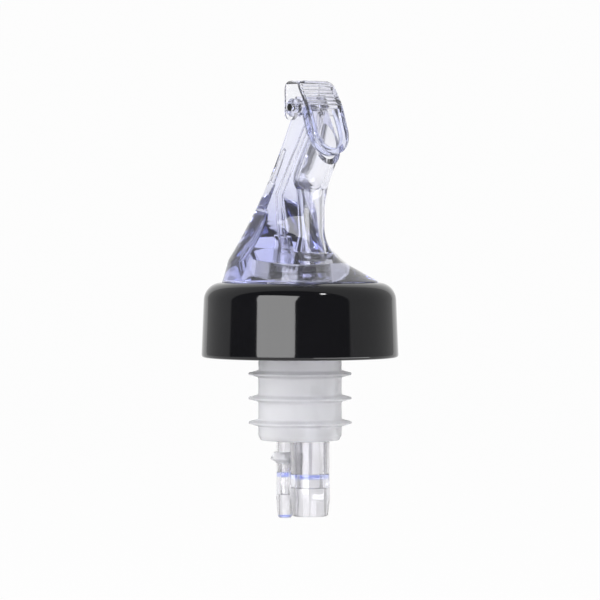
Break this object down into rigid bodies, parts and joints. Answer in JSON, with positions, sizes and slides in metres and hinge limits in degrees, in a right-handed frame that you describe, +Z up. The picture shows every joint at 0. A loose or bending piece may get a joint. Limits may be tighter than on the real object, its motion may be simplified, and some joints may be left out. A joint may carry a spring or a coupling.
{
  "type": "liquor pourer",
  "caption": "Measured liquor pourer with a clear leaning spout, hinged flap cap, black collar, finned stopper and ball-metered tubes that hang in the bottle.",
  "frame": {"origin": "on the stopper's axis at the middle fin, the middle of the bottle-neck mount", "axes": "+Z up along the stopper's axis out of the bottle, +X towards the pouring side"},
  "size_m": [0.0424, 0.0424, 0.0941],
  "materials": {
    "clear_plastic": "clear moulded plastic with a faint blue tint",
    "pin_plastic": "black",
    "soft_seal": "pale soft washer",
    "black_plastic": "high gloss black",
    "milky_plastic": "translucent milky soft plastic",
    "steel": "polished stainless steel"
  },
  "bodies": {
    "pourer": {"spout_body": "clear_plastic", "gasket": "soft_seal", "base_plug": "clear_plastic", "collar": "black_plastic", "stopper": "milky_plastic", "chamber_tube": "clear_plastic", "metering_cap": "clear_plastic", "breather_tube": "clear_plastic", "breather_tip": "clear_plastic", "breather_ring": "milky_plastic"},
    "flap": {"flap_cap": "clear_plastic", "hinge_pins": "pin_plastic"},
    "shutoff": {"shutoff_ball": "steel"},
    "timing": {"timing_ball": "steel"},
    "check": {"breather_ball": "steel"}
  },
  "joints": [
    {"name": "flap_hinge", "type": "hinge", "parent": "pourer", "child": "flap", "pos_m": [0.0022, 0, 0.0623], "axis": [0, -1, 0], "range_deg": [0, 100]},
    {"name": "shutoff_slide", "type": "slide", "parent": "pourer", "child": "shutoff", "axis": [0, 0, 1], "range_m": [0, 0.0314]},
    {"name": "timing_slide", "type": "slide", "parent": "pourer", "child": "timing", "axis": [0, 0, 1], "range_m": [0, 0.0314]},
    {"name": "check_slide", "type": "slide", "parent": "pourer", "child": "check", "axis": [0, 0, 1], "range_m": [0, 0.0456]}
  ],
  "couplings": [
    {"joint": "timing_slide", "follows": "shutoff_slide", "ratio": 1}
  ]
}
